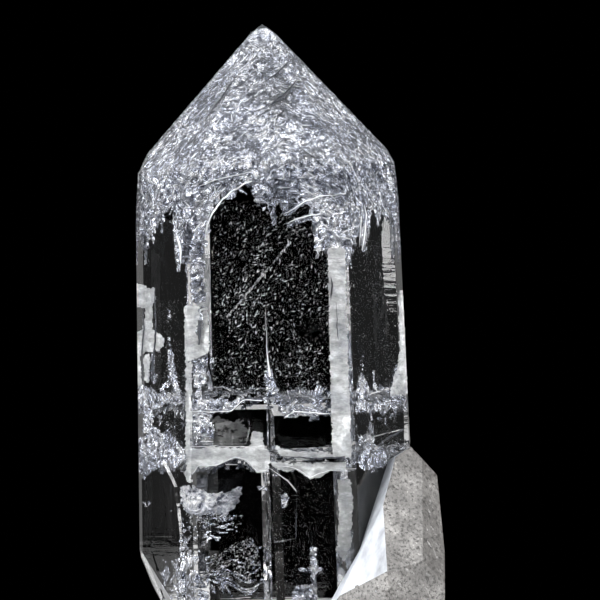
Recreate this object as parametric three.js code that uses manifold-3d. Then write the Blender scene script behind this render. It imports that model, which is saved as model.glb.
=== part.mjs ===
// A point of phantom quartz: one clear six-sided crystal with a six-faced tip, growth ledges round
// the lower half of its back, and a smaller frosted crystal grown on its right side, all one solid.
// Millimetres, +Z up. The crystal stands on a flat cut at Z = 0 and is seen from -Y.
import * as THREE from "three";
import { ConvexGeometry } from "three/addons/geometries/ConvexGeometry.js";
import { mergeVertices } from "three/addons/utils/BufferGeometryUtils.js";
import Module from "manifold-3d";

const wasm = await Module();
wasm.setup();

// Driving dimensions
const HEIGHT = 80; // from the flat cut to the tip
const AXIS_LEAN = 1.7; // the long axis leans this far to the left, in degrees
const RHOMB_SLOPE = 38.2; // angle between a tip face and the long axis of any quartz, in degrees
const TAPER = 0.9; // the prism faces draw in by this much towards the tip, in degrees
const BELOW_CUT = 8; // how far each crystal is made past the cut before it is trimmed
const SIDE_TIP = [18.5, -7, -52.9]; // tip of the smaller crystal, from the tip of the large one
const WELD = 1e-4; // vertices closer than this are one

// Compass directions of the six prism faces, in degrees, looking down with the viewer at -Y
const FRONT = -90;
const RIGHT_FRONT = -30;
const RIGHT_BACK = 30;
const BACK = 90;
const LEFT_BACK = 150;
const LEFT_FRONT = 210;

// A flat face: its outward direction on the compass, how far it faces upwards, and a point on it.
function faceThrough(compass, rise, point) {
  const a = THREE.MathUtils.degToRad(compass);
  const e = THREE.MathUtils.degToRad(rise);
  const normal = new THREE.Vector3(Math.cos(e) * Math.cos(a), Math.cos(e) * Math.sin(a), Math.sin(e));
  return { normal, reach: normal.dot(new THREE.Vector3(...point)) };
}

// The same, for a face that is `out` from the axis at `depth` below the tip.
function face(compass, rise, out, depth) {
  const a = THREE.MathUtils.degToRad(compass);
  return faceThrough(compass, rise, [out * Math.cos(a), out * Math.sin(a), -depth]);
}

function corner(p, q, r) {
  const across = new THREE.Vector3().crossVectors(q.normal, r.normal);
  const turn = p.normal.dot(across);
  if (Math.abs(turn) < 1e-6) return null;
  return across
    .multiplyScalar(p.reach)
    .addScaledVector(new THREE.Vector3().crossVectors(r.normal, p.normal), q.reach)
    .addScaledVector(new THREE.Vector3().crossVectors(p.normal, q.normal), r.reach)
    .divideScalar(turn);
}

function toSolid(geometry) {
  const bare = geometry.clone();
  for (const name of Object.keys(bare.attributes)) {
    if (name !== "position") bare.deleteAttribute(name);
  }
  const merged = mergeVertices(bare, WELD);
  return new wasm.Manifold(
    new wasm.Mesh({
      numProp: 3,
      vertProperties: merged.attributes.position.array,
      triVerts: new Uint32Array(merged.index.array),
    }),
  );
}

// The solid that lies inside every one of its faces, as a crystal does.
function within(faces) {
  const corners = [];
  for (let i = 0; i < faces.length; i++) {
    for (let j = i + 1; j < faces.length; j++) {
      for (let k = j + 1; k < faces.length; k++) {
        const at = corner(faces[i], faces[j], faces[k]);
        if (!at || faces.some((f) => f.normal.dot(at) > f.reach + WELD)) continue;
        if (!corners.some((c) => c.distanceTo(at) < WELD)) corners.push(at);
      }
    }
  }
  return toSolid(new ConvexGeometry(corners));
}

function join(solids) {
  return solids.reduce((all, one) => all.add(one));
}

// The large crystal's own frame has its tip at the origin and its long axis along Z.
const floorFace = face(0, -90, 0, HEIGHT + BELOW_CUT);

const prism = {
  [FRONT]: face(FRONT, TAPER, 13.9, 30),
  [RIGHT_FRONT]: face(RIGHT_FRONT, TAPER, 15.5, 30),
  [RIGHT_BACK]: face(RIGHT_BACK, TAPER, 13.1, 30),
  [BACK]: face(BACK, TAPER, 13.2, 30),
  [LEFT_BACK]: face(LEFT_BACK, TAPER, 13, 30),
  [LEFT_FRONT]: face(LEFT_FRONT, TAPER, 15.7, 30),
};

// Three broad tip faces meet at the tip, and three narrower ones between them stand further out.
const tipFaces = [
  face(FRONT, RHOMB_SLOPE, 0, 0),
  face(RIGHT_BACK, RHOMB_SLOPE, 0, 0),
  face(LEFT_BACK, RHOMB_SLOPE, 0, 0),
  face(RIGHT_FRONT, RHOMB_SLOPE, 0.9, 0),
  face(BACK, RHOMB_SLOPE, 1.2, 0),
  face(LEFT_FRONT, RHOMB_SLOPE, 0.8, 0),
];

// Narrow steep faces between the tip faces and the prism on the left and right
const shoulderFaces = [
  face(LEFT_FRONT, 4, 15.35, 20.5),
  face(LEFT_BACK, 4, 12.65, 19),
  face(RIGHT_FRONT, 6, 15.15, 20),
  face(RIGHT_BACK, 5, 12.8, 18),
];

// A later layer of growth on one part of the back: it covers the faces named in `thick`, by that
// much, up to a sloping ledge whose foot is `ledge` below the tip.
function growthStage({ thick, ledge, limits }) {
  const faces = [floorFace, faceThrough(FRONT, 0, [0, -1, 0]), ...limits];
  for (const [compass, more] of Object.entries(thick)) {
    const own = prism[compass];
    const at = own.normal.clone().multiplyScalar(own.reach + more);
    const sink = -ledge[compass] - at.z;
    const foot = [
      at.x - (own.normal.x * own.normal.z * sink) / (1 - own.normal.z ** 2),
      at.y - (own.normal.y * own.normal.z * sink) / (1 - own.normal.z ** 2),
      -ledge[compass],
    ];
    faces.push({ normal: own.normal, reach: own.reach + more });
    faces.push(faceThrough(Number(compass), RHOMB_SLOPE, foot));
  }
  return within(faces);
}

// The left and right halves of the back meet in a shallow groove.
const GROOVE = [-0.6, 13.3, 0];
const leftHalf = [faceThrough(25, 0, GROOVE), prism[LEFT_FRONT]];
const rightHalf = [faceThrough(155, 0, GROOVE), prism[RIGHT_FRONT]];

const growth = [
  growthStage({
    thick: { [BACK]: 0.45, [LEFT_BACK]: 0.3 },
    ledge: { [BACK]: 48.3, [LEFT_BACK]: 47.6 },
    limits: leftHalf,
  }),
  growthStage({
    thick: { [BACK]: 2.2, [LEFT_BACK]: 0.75 },
    ledge: { [BACK]: 55.2, [LEFT_BACK]: 54.6 },
    limits: leftHalf,
  }),
  growthStage({
    thick: { [BACK]: 1.1, [RIGHT_BACK]: 0.3 },
    ledge: { [BACK]: 49.2, [RIGHT_BACK]: 47.2 },
    limits: rightHalf,
  }),
  growthStage({
    thick: { [BACK]: 1.6, [RIGHT_BACK]: 0.55 },
    ledge: { [BACK]: 54.0, [RIGHT_BACK]: 53.0 },
    limits: rightHalf,
  }),
  growthStage({
    thick: { [BACK]: 2.3, [RIGHT_BACK]: 0.7 },
    ledge: { [BACK]: 55.7, [RIGHT_BACK]: 56.2 },
    limits: rightHalf,
  }),
];

// A thin plate grown on a prism face, with a sloping rim. Its outline is [along the face to the
// right as seen from outside, down from the tip].
const PLATE_SINK = 0.6;
function plate(compass, outline, thickness) {
  const own = prism[compass];
  const shape = new THREE.Shape(outline.map(([along, down]) => new THREE.Vector2(along, -down)));
  const slab = new THREE.ExtrudeGeometry(shape, {
    depth: PLATE_SINK,
    bevelEnabled: true,
    bevelSegments: 1,
    bevelThickness: thickness,
    bevelSize: thickness,
    bevelOffset: -thickness,
  });
  slab.translate(0, 0, -PLATE_SINK);
  const outwards = own.normal.clone();
  const right = new THREE.Vector3(-outwards.y, outwards.x, 0).normalize();
  const up = new THREE.Vector3().crossVectors(outwards, right);
  const place = new THREE.Matrix4().makeBasis(right, up, outwards);
  place.setPosition(outwards.clone().multiplyScalar(own.reach));
  return toSolid(slab.applyMatrix4(place));
}

const plates = [
  plate(FRONT, [[-10.2, 46.2], [-6.2, 45.2], [-3.6, 46.6], [-2.9, 50.5], [-3.4, 52.6], [-9.9, 52.4]], 0.16),
  plate(FRONT, [[-1.2, 55.2], [1.6, 57.2], [2.7, 58.6], [2.4, 64.5], [-0.4, 64.9], [-0.9, 60.2]], 0.14),
  plate(LEFT_FRONT, [[-5.6, 57.0], [-3.4, 54.6], [0.4, 54.2], [3.6, 57.6], [5.2, 66], [4.4, 86], [-5.4, 86]], 0.28),
  plate(RIGHT_FRONT, [[-3.8, 46.8], [2.8, 46.0], [5.6, 47.4], [5.2, 51.4], [-2.8, 52.2]], 0.16),
];

// The root is broken on the lower left, and chipped at the back.
const breaks = [
  faceThrough(188, -24, [-17.1, 0, -66.3]),
  faceThrough(214, -37, [-14.2, -8.2, -73]),
  faceThrough(241, -52, [-8, -13.6, -77.2]),
  faceThrough(160, -31, [-12.6, 8, -71]),
  faceThrough(118, -50, [-5, 14.6, -76.4]),
  faceThrough(72, -38, [4, 15.6, -74.5]),
];

function largeCrystal() {
  const body = within([...Object.values(prism), ...tipFaces, ...shoulderFaces, floorFace]);
  const whole = join([body, ...growth, ...plates]);
  const room = within([
    ...breaks,
    floorFace,
    faceThrough(0, 90, [0, 0, 1]),
    ...[0, 90, 180, 270].map((compass) => face(compass, 0, 30, 0)),
  ]);
  return whole.intersect(room).rotate([0, -AXIS_LEAN, 0]);
}

// The smaller crystal's frame has its tip at the origin. Its corners are measured from there.
function smallCrystal() {
  const kneeLeft = [-3.4, -6.6, -7.25];
  const kneeFront = [-2.9, -11.9, -15.25];
  const depth = HEIGHT + SIDE_TIP[2] + BELOW_CUT;
  const tip = [0, 0, 0];
  return within([
    faceThrough(-65, 32, tip), // broad frosted front
    faceThrough(-35, 21.6, [1.4, -2.52, -4.6]), // narrow face right of it
    faceThrough(0, 42.5, tip),
    faceThrough(0, 5.4, [3.25, 0, -4]),
    faceThrough(0, 0, [4.1, 0, 0]),
    faceThrough(-127.5, 26, kneeLeft), // bright face turned to the left
    faceThrough(-114, 0, kneeFront),
    faceThrough(-56, 0, kneeFront),
    faceThrough(-159, 28.3, kneeLeft), // narrow band beside the large crystal
    faceThrough(-175, 57, tip),
    faceThrough(55, RHOMB_SLOPE, tip),
    faceThrough(55, 0, [2.6, 4.4, 0]),
    faceThrough(118, RHOMB_SLOPE, tip),
    faceThrough(118, 0, [-2.6, 5.2, 0]),
    faceThrough(180, 0, [-12, 0, 0]),
    faceThrough(0, -90, [0, 0, -depth]),
  ]).translate(SIDE_TIP);
}

function aboveTheCut(solid) {
  const wide = 60;
  const slab = new THREE.BoxGeometry(2 * wide, 2 * wide, 2 * HEIGHT);
  return solid.intersect(toSolid(slab).translate([0, 0, HEIGHT]));
}

// Its origin is the middle of its footprint box, on the cut.
function centred(geometry) {
  geometry.computeBoundingBox();
  const middle = geometry.boundingBox.getCenter(new THREE.Vector3());
  return geometry.translate(-middle.x, -middle.y, 0);
}

function toGeometry(solid) {
  const { vertProperties, triVerts } = solid.getMesh();
  const geometry = new THREE.BufferGeometry();
  geometry.setAttribute("position", new THREE.BufferAttribute(vertProperties, 3));
  geometry.setIndex(new THREE.BufferAttribute(triVerts, 1));
  return geometry;
}

const grownTogether = largeCrystal().add(smallCrystal()).translate([0, 0, HEIGHT]);
const quartz = new THREE.Mesh(
  centred(toGeometry(aboveTheCut(grownTogether))),
  new THREE.MeshStandardMaterial({ color: 0xdfe3e8, roughness: 0.05, metalness: 0 }),
);
quartz.name = "quartz_crystal";

const specimen = new THREE.Group();
specimen.add(quartz);

export default specimen;
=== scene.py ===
import math

import bmesh
import bpy
import numpy as np
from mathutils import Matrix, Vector
from mathutils.bvhtree import BVHTree


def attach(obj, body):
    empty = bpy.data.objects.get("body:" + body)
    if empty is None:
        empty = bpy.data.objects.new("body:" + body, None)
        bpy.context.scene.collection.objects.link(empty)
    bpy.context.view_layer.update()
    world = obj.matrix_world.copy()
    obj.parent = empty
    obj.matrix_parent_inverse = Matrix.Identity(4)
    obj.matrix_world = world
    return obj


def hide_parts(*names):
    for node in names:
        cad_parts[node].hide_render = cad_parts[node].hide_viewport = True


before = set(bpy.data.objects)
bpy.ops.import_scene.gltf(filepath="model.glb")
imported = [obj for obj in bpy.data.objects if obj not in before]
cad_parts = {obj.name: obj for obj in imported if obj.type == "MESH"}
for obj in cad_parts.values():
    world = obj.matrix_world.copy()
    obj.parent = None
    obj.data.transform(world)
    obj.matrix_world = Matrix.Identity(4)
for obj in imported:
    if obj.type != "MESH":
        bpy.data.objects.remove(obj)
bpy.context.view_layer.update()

MM = 0.001
NODE = "quartz_crystal"

# The photograph: 600 pixels cover 75 mm at the crystal, seen level and from far off.
PIXEL = 0.125 * MM
CAMERA_FAR = 2.0
VIEW_HEIGHT = 45.5 * MM
TIP_PIXEL = 262
MIDDLE_PIXEL = 300

# The clear crystal
AXIS_LEAN = math.radians(1.7)
QUARTZ_IOR = 1.544

# Stands for a depth just behind the front of the crystal
FRONT = None

# The studio: a round floor, and on each side a light low behind, one high behind, a key light and a glint
FLOOR_RADIUS = 0.17
FLOOR_BACK = 0.06
FLOOR_GREY = 0.36
FLOOR_CORNERS = 96
GLOSSY_BOUNCES = 16
CLEAR_BOUNCES = 24
MOST_BOUNCES = 32
# Name, compass bearing of the back lights and of the key light, and brightness of the key light
LIT_SIDES = (("left", 154, -152, 5.3), ("right", 26, -28, 3.6))


def crystal_tip():
    """The highest point of the solid."""
    return max((v.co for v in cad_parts[NODE].data.vertices), key=lambda co: co.z).copy()


TIP = crystal_tip()
CENTRE_X = TIP.x + (MIDDLE_PIXEL - TIP_PIXEL) * PIXEL


def at_pixel(px, py, y=0.0):
    """The point of the row frame that shows at a pixel of the photograph, y behind the origin."""
    spread = (CAMERA_FAR + y) / CAMERA_FAR
    x = CENTRE_X + (px - MIDDLE_PIXEL) * PIXEL * spread
    z = VIEW_HEIGHT - (py - MIDDLE_PIXEL) * PIXEL * spread
    return np.array((x, y, z))


# Making objects, meshes and nodes


def new_object(name, data):
    made = bpy.data.objects.new(name, data)
    bpy.context.scene.collection.objects.link(made)
    return made


def mesh_from_arrays(name, points, faces, marks=None):
    """A mesh from arrays of points and of four-cornered faces. marks are named, one value a point."""
    used, faces = np.unique(faces, return_inverse=True)
    faces = faces.reshape(-1, 4)
    mesh = bpy.data.meshes.new(name)
    mesh.vertices.add(len(used))
    mesh.vertices.foreach_set("co", points[used].astype(np.float32).ravel())
    mesh.loops.add(faces.size)
    mesh.loops.foreach_set("vertex_index", faces.astype(np.int32).ravel())
    mesh.polygons.add(len(faces))
    mesh.polygons.foreach_set("loop_start", np.arange(0, faces.size, 4, dtype=np.int32))
    mesh.polygons.foreach_set("loop_total", np.full(len(faces), 4, dtype=np.int32))
    for mark, values in (marks or {}).items():
        kind, field = ("FLOAT", "value") if values.ndim == 1 else ("FLOAT_VECTOR", "vector")
        stored = mesh.attributes.new(mark, kind, "POINT")
        stored.data.foreach_set(field, values[used].astype(np.float32).ravel())
    mesh.update(calc_edges=True)
    return mesh


def inner_piece(name, mesh, material, smooth=True):
    """A veil, crack or cloud that is sealed in the crystal and rides with it."""
    if smooth:
        mesh.shade_smooth()
    mesh.materials.append(material)
    piece = new_object(name, mesh)
    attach(piece, "root")


def add_node(tree, kind, inputs=None, **settings):
    """Adds a node. inputs are values or other nodes' outputs, by socket name or number."""
    made = tree.nodes.new(kind)
    for setting, value in settings.items():
        setattr(made, setting, value)
    for socket, value in (inputs or {}).items():
        if isinstance(value, bpy.types.NodeSocket):
            tree.links.new(value, made.inputs[socket])
        else:
            made.inputs[socket].default_value = value
    return made


# Seeded noise


def gradient(cell, seed):
    """A direction of its own for each cell, from a hash of the cell and the seed."""
    mixed = cell[..., 0] * 73856093 ^ cell[..., 1] * 19349663 ^ cell[..., 2] * 83492791 ^ seed * 2654435761
    mixed = (mixed ^ (mixed >> 13)) * 1274126177 & 0x7FFFFFFF
    mixed = (mixed ^ (mixed >> 11)) * 668265263 & 0x7FFFFFFF
    around = (mixed & 0xFFFF) * (2 * math.pi / 0xFFFF)
    height = ((mixed >> 16) & 0x7FFF) * (2.0 / 0x7FFF) - 1.0
    flat = np.sqrt(np.maximum(0.0, 1.0 - height**2))
    return np.stack((flat * np.cos(around), flat * np.sin(around), height), axis=-1)


def noise(points, seed):
    """Smooth noise from about -1 to 1, with features about one unit across."""
    cell = np.floor(points).astype(np.int64)
    part = points - cell
    fade = part**3 * (part * (part * 6 - 15) + 10)
    total = 0.0
    for corner in np.ndindex(2, 2, 2):
        offset = np.array(corner)
        weight = np.prod(np.where(offset, fade, 1 - fade), axis=-1)
        slope = gradient(cell + offset, seed)
        total = total + weight * np.sum(slope * (part - offset), axis=-1)
    return total * 1.6


def creases(points, seed):
    """Sharp-edged folds, from 0 in the valleys to 1 on the crests."""
    return 1.0 - np.minimum(1.0, 2.0 * np.abs(noise(points, seed)))


# Where the skin of the crystal is


class Skin:
    """Tells how far the crystal's surface is from its long axis, at any depth below the tip."""

    # Samples round the long axis and down it
    TURNS = 720
    LEVELS = 321
    # In metres: room left at the tip and at the cut, least distance from the axis, where a front ray starts
    TOP = 0.3 * MM
    BOTTOM = 0.1 * MM
    LEAST_REACH = 0.05 * MM
    AHEAD = 0.1

    def __init__(self, node):
        mesh = node.data
        faces = [p.vertices[:] for p in mesh.polygons]
        self.tree = BVHTree.FromPolygons([v.co for v in mesh.vertices], faces)
        self.depths = np.linspace(self.TOP, TIP.z - self.BOTTOM, self.LEVELS)
        self.reach = np.zeros((self.TURNS + 1, self.LEVELS))
        for i in range(self.TURNS + 1):
            turn = 2 * math.pi * i / self.TURNS
            way = Vector((math.cos(turn), math.sin(turn), 0))
            for j, depth in enumerate(self.depths):
                start = Vector(self.axis(depth))
                hit = self.tree.ray_cast(start, way)
                self.reach[i, j] = hit[3] if hit[0] else 0.0

    @staticmethod
    def axis(depth):
        """The point of the long axis at this depth."""
        return (TIP.x + depth * math.tan(AXIS_LEAN), TIP.y, TIP.z - depth)

    def radius(self, turn, depth):
        """How far the surface is from the axis."""
        u = np.mod(turn, 2 * math.pi) / (2 * math.pi) * self.TURNS
        v = np.clip((depth - self.depths[0]) / (self.depths[1] - self.depths[0]), 0, self.LEVELS - 1.001)
        i, j = u.astype(int), v.astype(int)
        i = np.minimum(i, self.TURNS - 1)
        a, b = u - i, v - j
        low = self.reach[i, j] * (1 - a) + self.reach[i + 1, j] * a
        high = self.reach[i, j + 1] * (1 - a) + self.reach[i + 1, j + 1] * a
        return low * (1 - b) + high * b

    def point(self, turn, depth, inwards):
        """The point that lies this far inwards from the surface."""
        reach = np.maximum(self.radius(turn, depth) - inwards, self.LEAST_REACH)
        x = TIP.x + depth * math.tan(AXIS_LEAN) + reach * np.cos(turn)
        y = TIP.y + reach * np.sin(turn)
        return np.stack((x, y, TIP.z - depth), axis=-1)

    def front(self, points):
        """How far back the crystal's front is at each of these points, or 0 beside it."""
        far = []
        for point in points:
            hit = self.tree.ray_cast(Vector((point[0], -self.AHEAD, point[2])), Vector((0, 1, 0)))
            far.append(hit[0].y if hit[0] else 0.0)
        return np.array(far)


skin = Skin(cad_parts[NODE])


# Camera, floor and lights


def add_camera():
    data = bpy.data.cameras.new("camera")
    data.sensor_width = 36.0
    data.lens = data.sensor_width * CAMERA_FAR / (2 * MIDDLE_PIXEL * PIXEL)
    data.clip_end = 50.0
    camera = new_object("camera", data)
    camera.location = (CENTRE_X, -CAMERA_FAR, VIEW_HEIGHT)
    camera.rotation_euler = (math.radians(90), 0, 0)
    bpy.context.scene.camera = camera


def soft_light(name, compass, rise, far, wide, high, brightness, low_edge=None):
    """A soft light turned to the crystal. Its bearing and rise are in degrees, and lengths in metres."""
    data = bpy.data.lights.new(name, "AREA")
    data.shape = "RECTANGLE"
    data.size = wide
    data.size_y = high
    data.energy = brightness * wide * high * math.pi
    light = new_object(name, data)
    a, e = math.radians(compass), math.radians(rise)
    aim = Vector((0, 0, VIEW_HEIGHT))
    if low_edge is not None:
        aim.z = low_edge + high / 2
    light.location = aim + far * Vector((math.cos(e) * math.cos(a), math.cos(e) * math.sin(a), math.sin(e)))
    light.rotation_euler = (aim - light.location).to_track_quat("-Z", "Y").to_euler()
    light.visible_camera = False


def dark_studio():
    """Black all round at the height of the crystal, with a soft dome of light overhead."""
    world = bpy.data.worlds.new("dark_studio")
    world.use_nodes = True
    tree = world.node_tree
    place = add_node(tree, "ShaderNodeTexCoord")
    split = add_node(tree, "ShaderNodeSeparateXYZ", {"Vector": place.outputs["Generated"]})
    stops = [(0.2, (0, 0, 0)), (0.45, (0.3, 0.3, 0.3)), (1.0, (0.75, 0.77, 0.8))]
    tree.links.new(ramp(tree, split.outputs["Z"], stops), tree.nodes["Background"].inputs["Color"])
    return world


def add_studio():
    mesh = bpy.data.meshes.new("floor")
    turns = np.linspace(0, 2 * math.pi, FLOOR_CORNERS + 1)[:-1]
    ring = [(FLOOR_RADIUS * math.cos(t), FLOOR_BACK + FLOOR_RADIUS * math.sin(t), 0) for t in turns]
    mesh.from_pydata(ring, [], [range(len(ring))])
    floor = new_object("floor", mesh)
    grey = (FLOOR_GREY, FLOOR_GREY, FLOOR_GREY, 1)
    mesh.materials.append(new_material("pale_floor", {"Base Color": grey, "Roughness": 0.6})[0])
    bpy.context.scene.world = dark_studio()
    bpy.context.scene.view_settings.view_transform = "Standard"
    light_paths = bpy.context.scene.cycles
    light_paths.glossy_bounces = GLOSSY_BOUNCES
    light_paths.transmission_bounces = CLEAR_BOUNCES
    light_paths.max_bounces = MOST_BOUNCES
    for side, back, key, brightness in LIT_SIDES:
        soft_light(side + "_back_low", back, 0, 0.4, wide=0.22, high=0.16, brightness=0.66, low_edge=-0.155)
        soft_light(side + "_back_high", back, 0, 0.4, wide=0.14, high=0.1, brightness=0.12, low_edge=0.006)
        soft_light(side + "_key", key, 34, 0.5, wide=0.45, high=0.45, brightness=brightness)
        soft_light(side + "_glint", key + 20, 12, 0.5, wide=0.1, high=0.3, brightness=5 * brightness)


# Materials


def new_material(name, finish):
    """A material whose shader has these plain values, with its node tree and its shader."""
    material = bpy.data.materials.new(name)
    material.use_nodes = True
    tree = material.node_tree
    shader = tree.nodes["Principled BSDF"]
    for socket, value in finish.items():
        shader.inputs[socket].default_value = value
    return material, tree, shader


def object_noise(tree, scale, detail=4.0, roughness=0.55, stretch=(1, 1, 1)):
    """A noise texture on Object coordinates."""
    place = add_node(tree, "ShaderNodeTexCoord")
    mapping = add_node(tree, "ShaderNodeMapping", {"Vector": place.outputs["Object"], "Scale": stretch})
    sizes = {"Vector": mapping.outputs["Vector"], "Scale": scale, "Detail": detail, "Roughness": roughness}
    return add_node(tree, "ShaderNodeTexNoise", sizes).outputs["Fac"]


def stroke_noise(tree, along, across):
    """Noise drawn out along the level lines of a piece's stroke mark. Both lengths are in millimetres."""
    place = add_node(tree, "ShaderNodeTexCoord").outputs["Object"]
    shrunk = add_node(tree, "ShaderNodeVectorMath", {0: place, "Scale": 1 / (along * MM)}, operation="SCALE")
    steps = add_node(tree, "ShaderNodeMath", {0: marked(tree, "stroke"), 1: across}, operation="DIVIDE")
    inputs = {0: STROKE_LEAN, "Scale": steps.outputs[0]}
    lean = add_node(tree, "ShaderNodeVectorMath", inputs, operation="SCALE")
    inputs = {0: shrunk.outputs[0], 1: lean.outputs[0]}
    both = add_node(tree, "ShaderNodeVectorMath", inputs, operation="ADD")
    sizes = {"Vector": both.outputs[0], "Scale": 1.0, "Detail": 3.0}
    return add_node(tree, "ShaderNodeTexNoise", sizes).outputs["Fac"]


def marked(tree, mark, output="Fac"):
    """What a piece's own mark says, such as its stroke or its tone."""
    return add_node(tree, "ShaderNodeAttribute", attribute_name=mark).outputs[output]


def add_bump(tree, shader, height, strength, distance):
    bump = add_node(tree, "ShaderNodeBump", {"Height": height, "Strength": strength, "Distance": distance})
    tree.links.new(bump.outputs["Normal"], shader.inputs["Normal"])


def ramp(tree, value, stops):
    """A colour ramp. Its stops are a position and a colour or a grey."""
    made = add_node(tree, "ShaderNodeValToRGB", {"Fac": value})
    elements = made.color_ramp.elements
    while len(elements) < len(stops):
        elements.new(0.5)
    for element, (position, colour) in zip(elements, stops):
        element.position = position
        element.color = (*(colour if isinstance(colour, tuple) else (colour,) * 3), 1)
    return made.outputs["Color"]


def mix_colours(tree, blend, factor, first, second):
    inputs = {"Factor": factor, "A": first, "B": second}
    return add_node(tree, "ShaderNodeMix", inputs, data_type="RGBA", blend_type=blend).outputs["Result"]


def multiplied(tree, *colours):
    """Colours darkened by each other."""
    product = colours[0]
    for colour in colours[1:]:
        product = mix_colours(tree, "MULTIPLY", 1.0, product, colour)
    return product


def clear_quartz():
    """Water-clear quartz with the faint level growth lines of its prism faces."""
    finish = {"Base Color": (1, 1, 1, 1), "Roughness": 0.0, "IOR": QUARTZ_IOR, "Transmission Weight": 1.0}
    material, tree, shader = new_material("clear_quartz", finish)
    lines = object_noise(tree, 260.0, detail=3, stretch=(0.25, 0.25, 6.0))
    add_bump(tree, shader, lines, 0.35, 0.012 * MM)
    return material


def frosted_quartz():
    """The etched skin of the small crystal: grey, pitted and streaked, and lighter on its bright facet, which
    faces the left key light: a painted highlight.
    """
    material, tree, shader = new_material("frosted_quartz", {"Roughness": 0.38, "IOR": QUARTZ_IOR})
    clouds = object_noise(tree, 240.0, detail=6, roughness=0.7)
    stops = [(0.3, (0.078, 0.073, 0.069)), (0.5, (0.132, 0.126, 0.12)), (0.7, (0.3, 0.29, 0.278))]
    clouded = ramp(tree, clouds, stops)
    # The pit colour below is near-black in the hollows of the pit bump: painted shade in the pits. Elsewhere
    # it stays near 1, with a few light flecks
    pits = object_noise(tree, 2600.0, detail=3, roughness=0.75)
    pitted = ramp(tree, pits, [(0.38, (0.12, 0.11, 0.1)), (0.48, 0.95), (0.62, 1.05), (0.7, 2.4)])
    # The bright facet's lighter streaked grey: a painted highlight where it faces the left key light
    streaks = object_noise(tree, 500.0, detail=4, stretch=(1, 1, 0.3))
    stops = [(0.3, (0.18, 0.19, 0.21)), (0.5, (0.34, 0.36, 0.39)), (0.7, (0.5, 0.525, 0.56))]
    painted_highlight = ramp(tree, streaks, stops)
    tone = mix_colours(tree, "MIX", marked(tree, "painted_highlight"), multiplied(tree, clouded, pitted), painted_highlight)
    tree.links.new(tone, shader.inputs["Base Color"])
    add_bump(tree, shader, pits, 0.5, 0.06 * MM)
    return material


def veil_material(name, metallic, roughness, along, across, dull, bright, bump, shade=0.45):
    """A healed crack full of fine crackle, with short dark and light strokes and darker patches."""
    material, tree, shader = new_material(name, {"Metallic": metallic, "Roughness": roughness})
    strokes = stroke_noise(tree, along, across)
    deep = tuple(0.06 * c for c in dull)
    stops = [
        (0.36, bright), (0.41, dull), (0.46, dull), (0.48, deep), (0.5, deep), (0.515, bright), (0.535, dull),
        (0.6, dull), (0.65, bright),
    ]
    stroked = ramp(tree, strokes, stops)
    patches = object_noise(tree, 230.0, detail=5, roughness=0.6)
    low = (shade, shade * 1.03, shade * 1.12)
    patched = ramp(tree, patches, [(0.34, low), (0.47, (0.8, 0.81, 0.84)), (0.56, 1.0)])
    grains = object_noise(tree, 1500.0, detail=2, roughness=0.5)
    stops = [(0.33, (0.12, 0.13, 0.17)), (0.4, (0.6, 0.62, 0.67)), (0.5, (0.95, 0.96, 0.98)), (0.64, 1.35)]
    grained = ramp(tree, grains, stops)
    tone = multiplied(tree, stroked, patched, grained, marked(tree, "tone", "Color"))
    tree.links.new(tone, shader.inputs["Base Color"])
    add_bump(tree, shader, strokes, bump, 0.25 * MM)
    return material


def pale_veil(name, light, dark):
    """A duller healed crack: level grey streaks and wide soft patches. light and dark are its tones."""
    material, tree, shader = new_material(name, {"Metallic": 0.3, "Roughness": 0.25})
    streaks = object_noise(tree, 1000.0, detail=6, roughness=0.7, stretch=(0.55, 0.55, 1.2))
    greys = ((0.38, dark), (0.46, 0.65 * light), (0.54, 0.78 * light), (0.62, 1.1 * light))
    streaked = ramp(tree, streaks, [(at, (0.97 * grey, 0.99 * grey, grey)) for at, grey in greys])
    patches = object_noise(tree, 320.0, detail=3)
    patched = ramp(tree, patches, [(0.36, (0.76, 0.77, 0.8)), (0.5, 0.95), (0.6, 1.02)])
    tree.links.new(multiplied(tree, streaked, patched), shader.inputs["Base Color"])
    add_bump(tree, shader, streaks, 0.5, 0.18 * MM)
    return material


def speck_material(name, roughness, scale, detail, stops):
    """A plain finish for flakes and slivers too small to show a pattern, with a little variation of tone."""
    material, tree, shader = new_material(name, {"Roughness": roughness})
    tone = object_noise(tree, scale, detail=detail)
    tree.links.new(ramp(tree, tone, stops), shader.inputs["Base Color"])
    return material


def bright_specks():
    """Tiny white flakes."""
    stops = [(0.3, (0.7, 0.73, 0.8)), (0.5, (0.97, 0.98, 1.0))]
    return speck_material("bright_specks", 0.25, 900.0, 2, stops)


def dark_sliver():
    """A thin gap that throws no light back."""
    stops = [(0.3, (0.005, 0.006, 0.01)), (0.7, (0.05, 0.055, 0.07))]
    return speck_material("dark_sliver", 0.3, 2000.0, 3, stops)


# The skin of the crystal and of the small crystal at its foot

# How the solid's loose triangles are merged, and where the small crystal is
WELD = 0.002 * MM
FLAT_DEGREES = 0.2
SIDE_FROM_X = 8.0 * MM
SIDE_BELOW_Y = 3.0 * MM
SIDE_BELOW_Z = 27.3 * MM
# The clear prism leans in by 2.4 degrees, and its faces are left out of the crust
TAPER_RISE = math.sin(math.radians(2.4))
TAPER_SLACK = 0.005
# Which edges of the clear skin are rounded, and how wide
EDGE_WIDTH = 0.07 * MM
LONG_EDGE = 3 * MM
SHARP_DEGREES = 8
# The crust: its gap to the skin, its depth, its pits and its grain, and the size of its faces
FROST_GAP = 0.02 * MM
FROST_DEPTH = 0.12 * MM
FROST_PIT = 0.08 * MM
FROST_GRAIN = 0.01 * MM
PIT_GRAIN = 0.34 * MM
THIN_AREA = 1e-6 * MM * MM
MOST_CUTS = 9


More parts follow.
